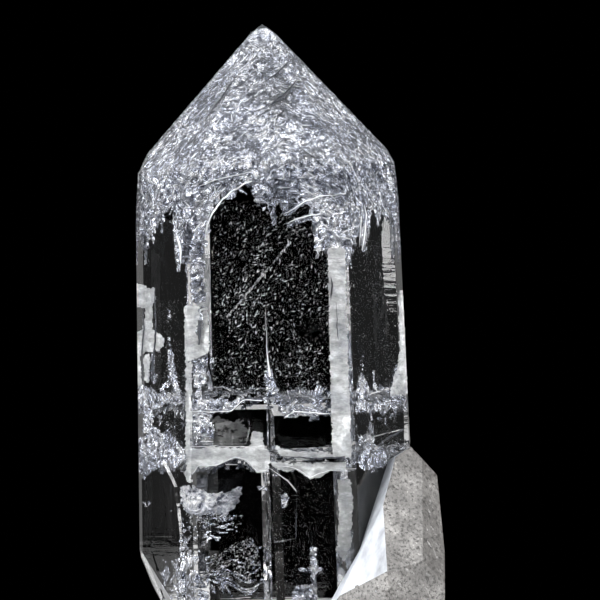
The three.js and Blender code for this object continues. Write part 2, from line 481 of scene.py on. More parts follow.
def node_shape():
    """The crystal's solid with its loose triangles merged into flat faces."""
    shape = bmesh.new()
    shape.from_mesh(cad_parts[NODE].data)
    bmesh.ops.remove_doubles(shape, verts=shape.verts, dist=WELD)
    flat = math.radians(FLAT_DEGREES)
    bmesh.ops.dissolve_limit(shape, angle_limit=flat, verts=shape.verts, edges=shape.edges)
    return shape


def mesh_of(shape, name):
    mesh = bpy.data.meshes.new(name)
    shape.to_mesh(mesh)
    shape.free()
    return mesh


def crystal_skin():
    """The whole clear solid, with its long edges very slightly rounded."""
    shape = node_shape()
    sharp = math.radians(SHARP_DEGREES)
    edges = [e for e in shape.edges if e.calc_length() > LONG_EDGE and e.calc_face_angle(0) > sharp]
    bmesh.ops.bevel(
        shape, geom=edges, offset=EDGE_WIDTH, segments=1, profile=0.5, affect="EDGES", clamp_overlap=True
    )
    bmesh.ops.recalc_face_normals(shape, faces=shape.faces)
    mesh = mesh_of(shape, "crystal_skin")
    mesh.materials.append(clear_quartz())
    piece = new_object("crystal_skin", mesh)
    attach(piece, "root")
    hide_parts(NODE)


def on_side_crystal(face):
    """Whether a face of the solid belongs to the small crystal."""
    at = face.calc_center_median()
    beside = at.x > SIDE_FROM_X and at.y < SIDE_BELOW_Y and at.z < SIDE_BELOW_Z
    return beside and abs(face.normal.z - TAPER_RISE) > TAPER_SLACK


def on_bright_facet(normal_x, normal_z):
    """Whether a surface that faces this way is the small crystal's bright facet, which faces the left key
    light and gets a painted highlight.
    """
    return (normal_x < -0.3) & (normal_z > 0.3)


def turn_thin_faces(shape):
    """Turns the longest edge of each triangle that has no area, or drops it at the border."""
    for face in [f for f in shape.faces if f.calc_area() < THIN_AREA]:
        if face.is_valid:
            longest = max(face.edges, key=lambda e: e.calc_length())
            if len(longest.link_faces) == 2:
                bmesh.utils.edge_rotate(longest, True)
            else:
                shape.edges.remove(longest)


def split_long_edges(shape, longest):
    """Cuts the faces into triangles until no edge is longer than this."""
    bmesh.ops.triangulate(shape, faces=shape.faces)
    for i in range(MOST_CUTS):
        edges = [e for e in shape.edges if e.calc_length() > longest]
        if not edges:
            break
        bmesh.ops.subdivide_edges(shape, edges=edges, cuts=1)
        bmesh.ops.triangulate(shape, faces=[f for f in shape.faces if len(f.verts) > 3])
        turn_thin_faces(shape)


def side_crystal_skin():
    """A thin etched crust over the small crystal, with real pits."""
    shape = node_shape()
    bmesh.ops.delete(shape, geom=[f for f in shape.faces if not on_side_crystal(f)], context="FACES")
    split_long_edges(shape, PIT_GRAIN)
    shape.verts.index_update()
    shape.normal_update()
    at = np.array([v.co for v in shape.verts])
    out = np.array([v.normal for v in shape.verts])
    pits = noise(at / (0.9 * MM), 70) + 0.6 * noise(at / (0.5 * MM), 71)
    etched = 1.0 - on_bright_facet(out[:, 0], out[:, 2])
    grow = FROST_DEPTH - FROST_PIT * np.clip(3 * (pits - 0.35), 0, 1) * etched + FROST_GRAIN * pits
    points = np.concatenate((at + out * (FROST_GAP + grow)[:, None], at + out * FROST_GAP))
    under = len(at)
    faces = []
    for face in shape.faces:
        corners = [v.index for v in face.verts]
        faces.append(corners)
        faces.append([i + under for i in reversed(corners)])
        for loop in face.loops:
            if loop.edge.is_boundary:
                a, b = loop.vert.index, loop.link_loop_next.vert.index
                faces.append([b, a, a + under, b + under])
    shape.free()
    mesh = bpy.data.meshes.new("side_crystal_skin")
    mesh.from_pydata(points.tolist(), [], faces)
    # Marks the facet that faces the left key light, for its painted highlight
    stored = mesh.attributes.new("painted_highlight", "FLOAT", "FACE")
    stored.data.foreach_set("value", [float(on_bright_facet(f.normal.x, f.normal.z)) for f in mesh.polygons])
    mesh.materials.append(frosted_quartz())
    piece = new_object("side_crystal_skin", mesh)
    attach(piece, "root")


# Crumpled sheets: healed cracks that line the crystal and cross it

# Strokes rise to one upright line from both sides. This lean keeps their noise clear of the grid
STROKE_LEAN = (0.57, 0.33, 0.75)
STROKE_TURN_X = at_pixel(296, 0)[0]
STROKE_SLOPE = 1.05
STROKE_BEND = 9.0
STROKE_DEPTHS = (2.5, 27)
STROKE_INSET = 0.15 * MM
# Height, length and width of each size of fold, in millimetres
FOLDS = ((0.5, 2.4, 1.5), (0.32, 1.2, 0.75), (0.16, 0.7, 0.42))
FINE_FOLDS = ((0.3, 1.3, 0.9), (0.16, 0.65, 0.42))
FLAT_FOLDS = ((0.05, 1.6, 0.8), (0.05, 0.5, 0.3))
# Folds are cut off below this height in millimetres, and fade out at the tip
FOLD_FLOOR = 0.4
TIP_FADE = 5 * MM
# In millimetres: spacing of a sheet's points, way round the crystal, half its width, room left at its skin
GRAIN = 0.16
GIRTH = 90
HALF_WIDTH = 19
LEAST_ROOM = 0.35
# In pixels of the photograph: spacing of a front veil's points, and room round its outline for ragged edges
PIXEL_GRAIN = 0.8
MARGIN = 3
# Centre and half size in pixels of the photograph, and strength
DARK_PATCHES = (
    (280, 96, 15, 17, 0.55), (264, 46, 20, 20, 0.42), (310, 156, 14, 8, 0.4), (366, 134, 10, 16, 0.12),
    (250, 88, 12, 16, 0.2), (232, 150, 16, 9, 0.1), (296, 120, 14, 8, 0.25), (201, 300, 8, 45, 0.35),
)
DARKEST = 0.1
# Rough depth of the front faces, for the dark patches and for threads, and how far inside them threads lie
FRONT_DEPTH = -8 * MM
THREAD_DEPTH = -10 * MM
THREAD_INSET = 0.1 * MM


def stroke_field(points):
    """Millimetres across the strokes, which rise to the middle from both sides."""
    here = points / MM
    aside = np.sqrt((here[..., 0] - STROKE_TURN_X / MM) ** 2 + STROKE_BEND)
    return here[..., 2] + STROKE_SLOPE * aside


def flow(points, along, across, seed):
    """Noise coordinates drawn out along the strokes."""
    steps = stroke_field(points)[..., None] / across * np.array(STROKE_LEAN)
    return points / MM / along + steps + seed * 17.3


def swirl(points, seed):
    """The points pushed about by slow noise, so that folds wander."""
    for size, reach in ((6.0, 2.0), (2.4, 1.1), (1.1, 0.35)):
        here = points / (size * MM)
        push = np.stack([noise(here + 31.7 * k, seed + 40 + k) for k in range(3)], axis=-1)
        points = points + push * reach * MM
    return points


def crumple(base, seed, folds):
    """How far the folds stand up, in millimetres."""
    rise = 0.7 * (noise(base / (5 * MM), seed) + 0.6)
    for k, (high, along, across) in enumerate(folds):
        rise += high * creases(flow(base, along, across, seed + k), seed + 1 + k)
    return rise


def lacy(base, border, seed, openness, hole):
    """Where a sheet is whole. It breaks up into lace at its border, in millimetres and positive inside."""
    lace = noise(flow(base, 2.4 * hole, 1.4 * hole, seed + 5), seed + 3)
    lace += 0.7 * noise(base / MM * 1.3 / hole, seed + 4)
    return lace + np.clip(border * 0.6, -1.5, 0.5) > openness


def quads_of_grid(rows, columns, keep, closed):
    """Faces of a grid of points. The columns meet again where the grid is closed."""
    i, j = np.meshgrid(np.arange(rows - 1), np.arange(columns if closed else columns - 1), indexing="ij")
    k = (j + 1) % columns
    here, below = i * columns, (i + 1) * columns
    quads = np.stack((here + j, here + k, below + k, below + j), axis=-1)
    return quads[keep[: rows - 1, : quads.shape[1]]]


def tone_of(points):
    """How light the veils are, from 0 to 1: a few wide darker patches behind the front faces."""
    tone = np.ones(points.shape[:-1])
    for px, py, wide, high, strength in DARK_PATCHES:
        at = at_pixel(px, py, FRONT_DEPTH)
        far = ((points[..., 0] - at[0]) / (wide * PIXEL)) ** 2
        far += ((points[..., 2] - at[2]) / (high * PIXEL)) ** 2
        tone -= strength * np.exp(-far) * (points[..., 1] < 0)
    return np.clip(tone, DARKEST, 1)


def without_strays(keep, closed):
    """The kept cells of a grid without single faces and bare threads of them."""
    keep = keep.copy()
    keep[-1] = False
    if not closed:
        keep[:, -1] = False
    for fewest in (2, 2, 2, 1):
        keep &= sum(np.roll(keep, k, axis).astype(int) for axis in (0, 1) for k in (-1, 1)) >= fewest
    return keep


def sheet_piece(name, points, base, keep, closed, material):
    keep = without_strays(keep & (softened(keep, 1) > 0.4), closed)
    marks = {"stroke": stroke_field(base).ravel(), "tone": tone_of(points).ravel()}
    quads = quads_of_grid(*keep.shape, keep, closed)
    inner_piece(name, mesh_from_arrays(name, points.reshape(-1, 3), quads, marks), material)


def wall_veil(name, material, seed, inwards, depths, border, openness, turns=None, folds=FOLDS, hole=1.0):
    """A crumpled sheet that lines the prism and pyramid faces, between two turns in degrees or all round."""
    first, last = turns or (0, 360)
    rows = int((depths[1] - depths[0]) / GRAIN)
    columns = int(GIRTH * (last - first) / 360 / GRAIN)
    depth = np.linspace(*depths, rows)[:, None] * MM + np.zeros((1, columns))
    turn = np.linspace(first, last, columns, endpoint=turns is not None)
    turn = np.radians(turn)[None, :] + np.zeros((rows, 1))
    base = swirl(skin.point(turn, depth, inwards * MM), seed)
    rise = crumple(base, seed, folds) * np.minimum(1.0, depth / TIP_FADE)
    points = skin.point(turn, depth, (inwards + np.maximum(rise - FOLD_FLOOR, 0)) * MM)
    keep = lacy(base, border(np.degrees(turn), depth / MM), seed, openness, hole)
    sheet_piece(name, points, base, keep, turns is None, material)


def level_crack(name, material, seed, height, border, openness, tilt=(0, 0), relief=1.0, grain=0.2):
    """A crumpled sheet that crosses the whole crystal, nearly level. height is in millimetres."""
    side = np.arange(-HALF_WIDTH, HALF_WIDTH, grain) * MM
    x, y = np.meshgrid(side, side)
    base = np.stack((x, y, np.full_like(x, height * MM)), axis=-1)
    wander = swirl(base, seed)
    rise = relief * (1.4 * noise(base / (7 * MM), seed + 20) + crumple(wander, seed, FOLDS)) * MM
    points = base.copy()
    points[..., 2] += rise + tilt[0] * x + tilt[1] * y
    at = Skin.axis(TIP.z - height * MM)
    out = np.hypot(x - at[0], y - at[1])
    turn = np.arctan2(y - at[1], x - at[0])
    room = (skin.radius(turn, TIP.z - points[..., 2]) - out) / MM
    keep = lacy(wander, border(x / MM, y / MM), seed, openness, 1.0) & (room > LEAST_ROOM)
    sheet_piece(name, points, wander, keep, False, material)


def inside_outline(px, py, outline):
    """Which pixels of the photograph lie inside an outline of pixels."""
    inside = np.zeros(px.shape, dtype=bool)
    for (ax, ay), (bx, by) in zip(outline, outline[1:] + outline[:1]):
        if ay != by:
            inside ^= ((py < ay) != (py < by)) & (px < ax + (bx - ax) * (py - ay) / (by - ay))
    return inside


def softened(mask, reach):
    """The share of marked cells within this many cells of each cell, up and down and then across."""
    soft = mask.astype(float)
    for axis in (0, 1):
        soft = sum(np.roll(soft, k, axis) for k in range(-reach, reach + 1)) / (2 * reach + 1)
    return soft


def front_veils(name, material, seed, outlines, inset, folds=FLAT_FOLDS, ragged=1.5, fray=2.4, openness=-1.0):
    """Torn flat veils just behind the front faces. Their outlines, ragged edges and fray are in pixels."""
    xs, ys = zip(*(corner for outline in outlines for corner in outline))
    columns = np.arange(min(xs) - MARGIN, max(xs) + MARGIN, PIXEL_GRAIN)
    px, py = np.meshgrid(columns, np.arange(min(ys) - MARGIN, max(ys) + MARGIN, PIXEL_GRAIN))
    flat = np.stack([at_pixel(a, b) for a, b in zip(px.ravel(), py.ravel())])
    wide, fine = flat / (1.1 * MM), flat / (0.35 * MM)
    pushes = [ragged * (noise(wide, seed + k) + 0.7 * noise(fine, seed + k + 7)) for k in (0, 1)]
    dx, dy = (push.reshape(px.shape) for push in pushes)
    keep = np.zeros(px.shape, dtype=bool)
    for outline in outlines:
        keep |= inside_outline(px + dx, py + dy, outline)
    base = flat.copy()
    base[:, 1] = skin.front(flat)
    wander = swirl(base, seed + 2)
    rise = crumple(wander, seed + 3, folds) * (0.5 if folds is FLAT_FOLDS else 1.0)
    points = base + np.array((0, 1, 0)) * (inset + rise[:, None]) * MM
    inside = softened(keep, int(fray / PIXEL_GRAIN))
    strands = noise(flow(wander, 1.0, 0.5, seed + 6), seed + 4).reshape(px.shape)
    splinters = creases(flow(flat, 0.9, 0.28, seed + 8), seed + 9).reshape(px.shape)
    frayed = inside + 0.3 * strands + 0.5 * (splinters - 0.4)
    keep = (frayed > 0.5) & (strands > openness) & (base[:, 1] < 0).reshape(px.shape)
    points, wander = points.reshape(*px.shape, 3), wander.reshape(*px.shape, 3)
    sheet_piece(name, points, wander, keep, False, material)


# Specks and thin lines, made with Geometry Nodes


def new_tree(name, sizes):
    """A Geometry Nodes tree, what goes into it (a geometry and a named number for each size) and its end."""
    tree = bpy.data.node_groups.new(name, "GeometryNodeTree")
    tree.interface.new_socket("Geometry", in_out="INPUT", socket_type="NodeSocketGeometry")
    tree.interface.new_socket("Geometry", in_out="OUTPUT", socket_type="NodeSocketGeometry")
    for size, value in sizes.items():
        kind = "NodeSocketInt" if isinstance(value, int) else "NodeSocketFloat"
        tree.interface.new_socket(size, in_out="INPUT", socket_type=kind)
    return tree, tree.nodes.new("NodeGroupInput").outputs, tree.nodes.new("NodeGroupOutput")


def finish_tree(tree, geometry, material, last):
    whole = add_node(tree, "GeometryNodeRealizeInstances", {"Geometry": geometry})
    dressed = add_node(tree, "GeometryNodeSetMaterial", {"Geometry": whole.outputs[0], "Material": material})
    tree.links.new(dressed.outputs[0], last.inputs[0])


def grown(name, seed_mesh, tree, sizes, material):
    """Runs a tree on a mesh and keeps the result as a plain mesh that is sealed in the crystal."""
    sketch = new_object(name + "_sketch", seed_mesh)
    modifier = sketch.modifiers.new("grow", "NODES")
    modifier.node_group = tree
    for item in tree.interface.items_tree:
        if item.in_out == "INPUT" and item.name in sizes:
            modifier[item.identifier] = sizes[item.name]
    evaluated = sketch.evaluated_get(bpy.context.evaluated_depsgraph_get())
    mesh = bpy.data.meshes.new_from_object(evaluated)
    mesh.name = name
    bpy.data.objects.remove(sketch)
    mesh.materials.clear()
    inner_piece(name, mesh, material, smooth=False)


def maths(tree, operation, first, second):
    return add_node(tree, "ShaderNodeMath", {0: first, 1: second}, operation=operation).outputs[0]


def random_number(tree, low, high, seed):
    inputs = {2: low, 3: high, "Seed": seed}
    return add_node(tree, "FunctionNodeRandomValue", inputs, data_type="FLOAT").outputs[1]


def random_vector(tree, low, high, seed):
    inputs = {0: low, 1: high, "Seed": seed}
    return add_node(tree, "FunctionNodeRandomValue", inputs, data_type="FLOAT_VECTOR").outputs[0]


def graded(tree, size, power, seed):
    """A random size between the smallest and the largest. The higher the power, the rarer the large ones."""
    rare = maths(tree, "POWER", random_number(tree, 0.0, 1.0, seed), power)
    inputs = {"Value": rare, "To Min": size["Smallest"], "To Max": size["Largest"]}
    return add_node(tree, "ShaderNodeMapRange", inputs).outputs[0]


def strewn_points(tree, size):
    """Random points on the faces of the mesh."""
    inputs = {"Mesh": size["Geometry"], "Density": size["Density"], "Seed": size["Seed"]}
    return add_node(tree, "GeometryNodeDistributePointsOnFaces", inputs).outputs


def small_ball(tree):
    """A ball of few faces and one metre across, to be made small."""
    inputs = {"Radius": 0.5, "Segments": 4, "Rings": 2}
    return add_node(tree, "GeometryNodeMeshUVSphere", inputs).outputs["Mesh"]


def finish_flakes(tree, points, flake, turn, scale, material, last):
    inputs = {"Points": points, "Instance": flake, "Rotation": turn, "Scale": scale}
    placed = add_node(tree, "GeometryNodeInstanceOnPoints", inputs)
    finish_tree(tree, placed.outputs[0], material, last)
    return tree


def speck_tree(material, sizes):
    """Small long flakes strewn through a slab of crystal behind each face of the mesh. Most lean one way."""
    tree, size, last = new_tree("specks", sizes)
    deep = add_node(tree, "ShaderNodeCombineXYZ", {"Y": size["Depth"]})
    inputs = {"Geometry": strewn_points(tree, size)["Points"]}
    inputs["Offset"] = random_vector(tree, (0, 0, 0), deep.outputs[0], 1)
    moved = add_node(tree, "GeometryNodeSetPosition", inputs)
    place = add_node(tree, "GeometryNodeInputPosition")
    clumps = add_node(tree, "ShaderNodeTexNoise", {"Vector": place.outputs[0], "Scale": 260.0, "Detail": 2.0})
    spread = maths(tree, "ADD", clumps.outputs[0], random_number(tree, -0.12, 0.12, 7))
    thin = add_node(tree, "FunctionNodeCompare", {"A": spread, "B": size["Clumping"]}, operation="LESS_THAN")
    inputs = {"Geometry": moved.outputs[0], "Selection": thin.outputs[0]}
    kept = add_node(tree, "GeometryNodeDeleteGeometry", inputs, domain="POINT")
    flake = add_node(tree, "GeometryNodeTransform", {"Geometry": small_ball(tree), "Scale": (1.0, 0.3, 0.2)})
    turn = random_vector(tree, (0, -1.9, -0.6), (6.3, 0.1, 0.6), 2)
    scale = graded(tree, size, 4.0, 3)
    return finish_flakes(tree, kept.outputs[0], flake.outputs[0], turn, scale, material, last)


def stroke_tree(material, sizes):
    """Short straight rifts that lie in the mesh, most of them along its stroke direction."""
    tree, size, last = new_tree("strokes", sizes)
    strewn = strewn_points(tree, size)
    along = add_node(tree, "GeometryNodeInputNamedAttribute", {"Name": "along"}, data_type="FLOAT_VECTOR")
    inputs = {"Rotation": strewn["Rotation"], "Vector": along.outputs[0]}
    laid = add_node(tree, "FunctionNodeAlignRotationToVector", inputs, axis="X", pivot_axis="Z")
    bent = maths(tree, "POWER", random_number(tree, -1.0, 1.0, 4), 3.0)
    twist = add_node(tree, "ShaderNodeCombineXYZ", {"Z": maths(tree, "MULTIPLY", bent, size["Spread"])})
    inputs = {"Rotation": laid.outputs[0], "Rotate By": twist.outputs[0]}
    turn = add_node(tree, "FunctionNodeRotateEuler", inputs, rotation_type="EULER", space="LOCAL")
    inputs = {"X": graded(tree, size, 2.5, 5), "Y": size["Width"], "Z": size["Width"]}
    scale = add_node(tree, "ShaderNodeCombineXYZ", inputs)
    points, turn, scale = strewn["Points"], turn.outputs[0], scale.outputs[0]
    return finish_flakes(tree, points, small_ball(tree), turn, scale, material, last)


def line_tree(material, sizes):
    """Thin wandering flattened threads along the edges of the mesh, as wide as its width mark says."""
    tree, size, last = new_tree("threads", sizes)
    curve = add_node(tree, "GeometryNodeMeshToCurve", {"Mesh": size["Geometry"]})
    inputs = {"Curve": curve.outputs[0], "Length": size["Step"]}
    even = add_node(tree, "GeometryNodeResampleCurve", inputs, mode="LENGTH")
    place = add_node(tree, "GeometryNodeInputPosition")
    inputs = {"Vector": place.outputs[0], "Scale": size["Waves"], "Detail": 3.0}
    wander = add_node(tree, "ShaderNodeTexNoise", inputs)
    inputs = {0: wander.outputs["Color"], 1: (0.5, 0.5, 0.5)}
    middle = add_node(tree, "ShaderNodeVectorMath", inputs, operation="SUBTRACT")
    inputs = {0: middle.outputs[0], "Scale": size["Wander"]}
    push = add_node(tree, "ShaderNodeVectorMath", inputs, operation="SCALE")
    inputs = {"Geometry": even.outputs[0], "Offset": push.outputs[0]}
    moved = add_node(tree, "GeometryNodeSetPosition", inputs)
    width = add_node(tree, "GeometryNodeInputNamedAttribute", {"Name": "width"}, data_type="FLOAT")
    ring = add_node(tree, "GeometryNodeCurvePrimitiveCircle", {"Resolution": 5, "Radius": 1.0}, mode="RADIUS")
    inputs = {"Geometry": ring.outputs[0], "Scale": (1.0, 0.35, 1.0)}
    flat = add_node(tree, "GeometryNodeTransform", inputs)
    inputs = {"Curve": moved.outputs[0], "Profile Curve": flat.outputs[0], "Scale": width.outputs[0]}
    inputs["Fill Caps"] = True
    tube = add_node(tree, "GeometryNodeCurveToMesh", inputs)
    finish_tree(tree, tube.outputs[0], material, last)
    return tree


def panes(name, corners):
    """Upright flat panes given by pixels of the photograph and a depth."""
    points = [at_pixel(px, py, y * MM) for pane in corners for px, py, y in pane]
    faces, start = [], 0
    for pane in corners:
        faces.append(range(start, start + len(pane)))
        start += len(pane)
    mesh = bpy.data.meshes.new(name)
    mesh.from_pydata(points, [], faces)
    return mesh


def stroke_sheet(name):
    """A smooth open sheet behind the faces of the tip. It carries the direction of the strokes."""
    rows, columns = 40, 120
    depth = np.linspace(*STROKE_DEPTHS, rows)[:, None] * MM + np.zeros((1, columns))
    turn = np.radians(np.linspace(0, 360, columns, endpoint=False))[None, :] + np.zeros((rows, 1))
    points = skin.point(turn, depth, STROKE_INSET)
    keep = arch(np.degrees(turn), depth / MM) > 0.4
    across = (points[..., 0] - STROKE_TURN_X) / MM
    lean = STROKE_SLOPE * across / np.sqrt(across**2 + STROKE_BEND)
    rise = np.stack((lean, np.zeros_like(across), np.ones_like(across)), axis=-1)
    out = np.stack((np.cos(turn), np.sin(turn), np.full_like(turn, 0.5)), axis=-1)
    along = np.cross(out, rise)
    quads = quads_of_grid(rows, columns, keep, True)
    return mesh_from_arrays(name, points.reshape(-1, 3), quads, {"along": along.reshape(-1, 3)})


def strokes(name, material, sizes):
    grown(name, stroke_sheet(name), stroke_tree(material, sizes), sizes, material)


def specks(name, material, corners, sizes):
    grown(name, panes(name, corners), speck_tree(material, sizes), sizes, material)


def threads(name, material, lines, sizes):
    """Each line is its depth in millimetres, or FRONT, and then corners: two pixels and a width in mm."""
    points, widths, edges = [], [], []
    for depth, *corners in lines:
        edges += [(len(points) + i, len(points) + i + 1) for i in range(len(corners) - 1)]
        for px, py, wide in corners:
            if depth is FRONT:
                y = skin.front([at_pixel(px, py, THREAD_DEPTH)])[0] + THREAD_INSET
            else:
                y = depth * MM
            points.append(at_pixel(px, py, y))
            widths.append(wide / 2 * MM)
    mesh = bpy.data.meshes.new(name)
    mesh.from_pydata(points, edges, [])
    stored = mesh.attributes.new("width", "FLOAT", "POINT")
    stored.data.foreach_set("value", widths)
    grown(name, mesh, line_tree(material, sizes), sizes, material)


# Lower edge of the veils in the tip: turn in degrees and millimetres below the tip
ARCH = (
    (-180, 26), (-160, 26), (-152, 24), (-146, 21.8), (-139, 22.5), (-136, 29.5), (-122.5, 29),
    (-121.5, 25.5), (-118, 22.6), (-114, 21.2), (-109, 20.2), (-104, 19.6), (-99, 19.9), (-93, 20.9),
    (-88, 21.3), (-81, 20.9), (-76, 20), (-71, 20.4), (-68, 22.5), (-66, 27.5), (-55, 28), (-50, 27),
    (-44, 25), (-40, 22.5), (-20, 23), (0, 24), (30, 27), (46, 28), (54, 22), (62, 18.5), (75, 18),
    (90, 18.5), (105, 18), (118, 18.5), (126, 21), (134, 28), (150, 25), (180, 26),
)


INNER_EDGE = 18.0


def arch(turn, depth):
    """Millimetres above the lower edge of the tip's veils. The bare top of the tip has no veil."""
    around = (turn + 180) % 360 - 180
    low = np.interp(around, *zip(*ARCH))
    spikes = 1.5 * np.abs(np.sin(np.radians(turn) * 13.0 + 1.0)) ** 8
    return np.minimum(low + spikes - depth, (depth - 0.9) * 0.8)


def inner_arch(turn, depth):
    """The same for the inner veil, which hangs less far down."""
    return np.minimum(arch(turn, depth), INNER_EDGE - depth)


def patch(middle, half):
    """A border for a patch. Its middle and half size are degrees of turn and millimetres below the tip."""
    def border(turn, depth):
        out = np.hypot((turn - middle[0]) / half[0], (depth - middle[1]) / half[1])
        return (1 - out) * half[1]
    return border


# Crinkled ledges: turn in degrees, and top and bottom in millimetres below the tip
UPPER_LEDGE = (
    (-180, 45, 49), (-160, 45.6, 48.5), (-145, 45, 49), (-126, 45, 48.5), (-122, 45.5, 48),
    (-115, 45.8, 48.5), (-106, 46, 48), (-99, 46.6, 48.2), (-93, 44.8, 48), (-90, 43, 49.5),
    (-86, 45.5, 49), (-79, 46.5, 48.5), (-74, 45, 49), (-67, 47, 48.5), (-62, 45.5, 49), (-55, 47, 49),
    (-40, 46, 48.8), (-20, 45.5, 49), (10, 44.5, 49), (40, 46.5, 48), (70, 45, 49.5), (100, 46.3, 48.4),
    (130, 45, 49), (160, 46, 48.6), (180, 45, 49),
)
LOWER_LEDGE = (
    (-180, 52.5, 56), (-150, 53, 57), (-126, 52.5, 56), (-115, 53.5, 55.5), (-104, 53, 55), (-93, 52.5, 57),
    (-86, 54, 56), (-74, 54.5, 56.5), (-60, 54, 57), (-55, 54, 57.5), (-30, 53, 56.5), (0, 54, 56),
    (30, 53, 57), (60, 52.6, 55.2), (100, 53.6, 56.6), (140, 53, 55.4), (180, 52.5, 56),
)


# Outlines of the torn veils behind the front faces, in pixels of the photograph
UPPER_FRONT_LEDGE = [
    [(190, 400), (205, 398), (222, 397), (232, 402), (240, 396), (247, 397), (236, 408), (231, 411),
     (212, 411), (210, 417), (216, 430), (213, 436), (200, 437), (195, 445), (190, 445)],
    [(284, 418), (292, 409), (300, 404), (310, 405), (320, 407), (330, 410), (333, 414), (318, 414),
     (300, 415)],
    [(311, 398), (316, 388), (322, 384), (323, 400), (318, 406), (311, 404)],
]
LOWER_FRONT_LEDGE = [
    [(190, 447), (215, 446), (240, 447), (252, 445), (268, 448), (270, 455), (268, 470), (258, 472),
     (252, 466), (245, 459), (236, 457), (225, 459), (216, 465), (198, 466), (190, 478)],
    [(276, 444), (285, 449), (300, 451), (318, 450), (330, 452), (334, 457), (300, 458), (280, 455)],
    [(268, 460), (290, 462), (320, 461), (345, 460), (345, 470), (330, 469), (320, 476), (310, 478),
     (302, 472), (295, 468), (285, 470), (276, 466)],
    [(252, 430), (262, 431), (264, 447), (250, 447)],
]
FLANK_LEDGES = [
    [(140, 383), (152, 385), (160, 393), (172, 392), (180, 394), (184, 402), (176, 404), (170, 402),
     (162, 405), (158, 408), (150, 404), (143, 408), (139, 400)],
    [(140, 440), (150, 432), (158, 425), (165, 432), (172, 428), (178, 437), (188, 448), (189, 462),
     (183, 460), (179, 470), (172, 462), (160, 466), (152, 472), (147, 480), (141, 470)],
    [(353, 400), (360, 398), (368, 402), (378, 402), (388, 400), (400, 398), (398, 404), (388, 408),
     (375, 410), (362, 412), (353, 412)],
    [(356, 436), (364, 432), (372, 440), (366, 446), (357, 447)],
]
HANGING = [
    [(250, 184), (255, 184), (260, 205), (257, 207)],
    [(262, 194), (272, 194), (276, 214), (277, 224), (272, 226), (270, 214)],
    [(286, 225), (296, 219), (307, 214), (320, 211), (330, 216), (320, 219), (308, 221), (296, 225),
     (288, 227)],
    [(278, 198), (290, 203), (300, 199), (320, 193), (346, 191), (346, 198), (322, 199), (306, 204),
     (294, 212), (286, 218), (282, 214)],
    [(358, 243), (361, 215), (366, 207), (369, 212), (367, 235), (363, 252), (360, 252)],
    [(174, 226), (186, 226), (184, 250), (181, 266), (178, 250)],
]
GLAZE = [
    [(213, 413), (230, 420), (240, 418), (250, 430), (249, 447), (213, 447)],
    [(188, 362), (208, 362), (208, 392), (188, 392)],
]
BRIGHT_TEARS = [
    [(262, 400), (266, 392), (264, 380), (266, 366), (271, 366), (274, 378), (281, 398), (284, 405),
     (290, 403), (300, 392), (300, 395), (292, 410), (286, 418), (283, 412), (277, 404), (270, 402),
     (258, 400), (252, 401)],
    [(143, 415), (150, 405), (156, 412), (155, 428), (149, 436), (143, 430)],
    [(355, 385), (357, 372), (361, 370), (366, 385), (368, 395), (360, 400), (354, 398)],
    [(388, 395), (392, 372), (397, 360), (399, 395), (395, 400)],
    [(356, 455), (362, 448), (372, 445), (380, 447), (386, 455), (389, 463), (380, 468), (372, 466),
     (365, 470), (357, 466)],
    [(310, 546), (316, 545), (316, 588), (310, 588)],
    [(298, 567), (322, 565), (322, 569), (300, 570)],
    [(293, 586), (306, 582), (317, 586), (316, 600), (292, 600)],
    [(281, 493), (288, 493), (288, 507), (281, 507)],
    [(257, 484), (267, 484), (267, 488), (257, 488)],
    [(144, 501), (150, 499), (153, 503), (148, 507)],
]
LOW_CLOUD = [
    [(183, 485), (190, 483), (200, 488), (212, 492), (225, 491), (240, 484), (242, 490), (238, 502),
     (232, 508), (222, 513), (208, 511), (200, 515), (192, 512), (186, 505)],
]
LOW_VEIL = [
    [(190, 512), (243, 514), (241, 524), (226, 530), (212, 540), (198, 548), (190, 542)],
    [(208, 556), (230, 545), (252, 534), (262, 552), (264, 592), (212, 592), (202, 574)],
    [(160, 578), (172, 562), (181, 550), (186, 570), (184, 602), (152, 602)],
]
LOW_STRIP = [
    [(181, 505), (188, 530), (190, 545), (200, 558), (196, 566), (200, 575), (207, 585), (211, 600),
     (178, 600), (176, 580), (178, 560), (184, 545), (181, 520)],
]
FLANK_PATCHES = [
    [(137, 283), (146, 285), (152, 290), (154, 285), (156, 292), (158, 298), (155, 303), (153, 308),
     (154, 330), (160, 333), (166, 338), (164, 345), (160, 351), (155, 349), (152, 353), (146, 350),
     (142, 356), (137, 352), (136, 330), (143, 331), (146, 318), (147, 308), (137, 306)],
    [(136, 352), (141, 352), (142, 385), (136, 385)],
    [(144, 354), (150, 353), (150, 382), (145, 381)],
    [(397, 290), (402, 290), (405, 340), (406, 395), (388, 395), (392, 378), (396, 365), (398, 345),
     (397, 320)],
]
BAND_PATCHES = [
    [(186, 305), (207, 307), (209, 330), (209, 352), (200, 356), (186, 362)],
    [(327, 248), (344, 247), (347, 343), (349, 400), (351, 456), (332, 456), (329, 345)],
    [(187, 362), (192, 362), (192, 480), (187, 480)],
]
LOW_BAND = [
    [(337, 478), (350, 478), (352, 500), (350, 545), (343, 560), (336, 548), (338, 520)],
]
WHITE_CRACKS = [
    [(170, 306), (172, 305), (172, 318), (171, 330), (173, 345), (176, 360), (179, 378), (184, 395),
     (180, 396), (175, 388), (171, 380), (169, 360), (170, 340), (170, 325)],
    [(185, 373), (200, 362), (205, 354), (213, 358), (216, 362), (204, 362), (198, 364), (188, 378)],
    [(154, 352), (156, 352), (156, 372), (160, 376), (156, 384), (153, 380)],
    [(359, 355), (361, 355), (362, 370), (360, 372)],
]


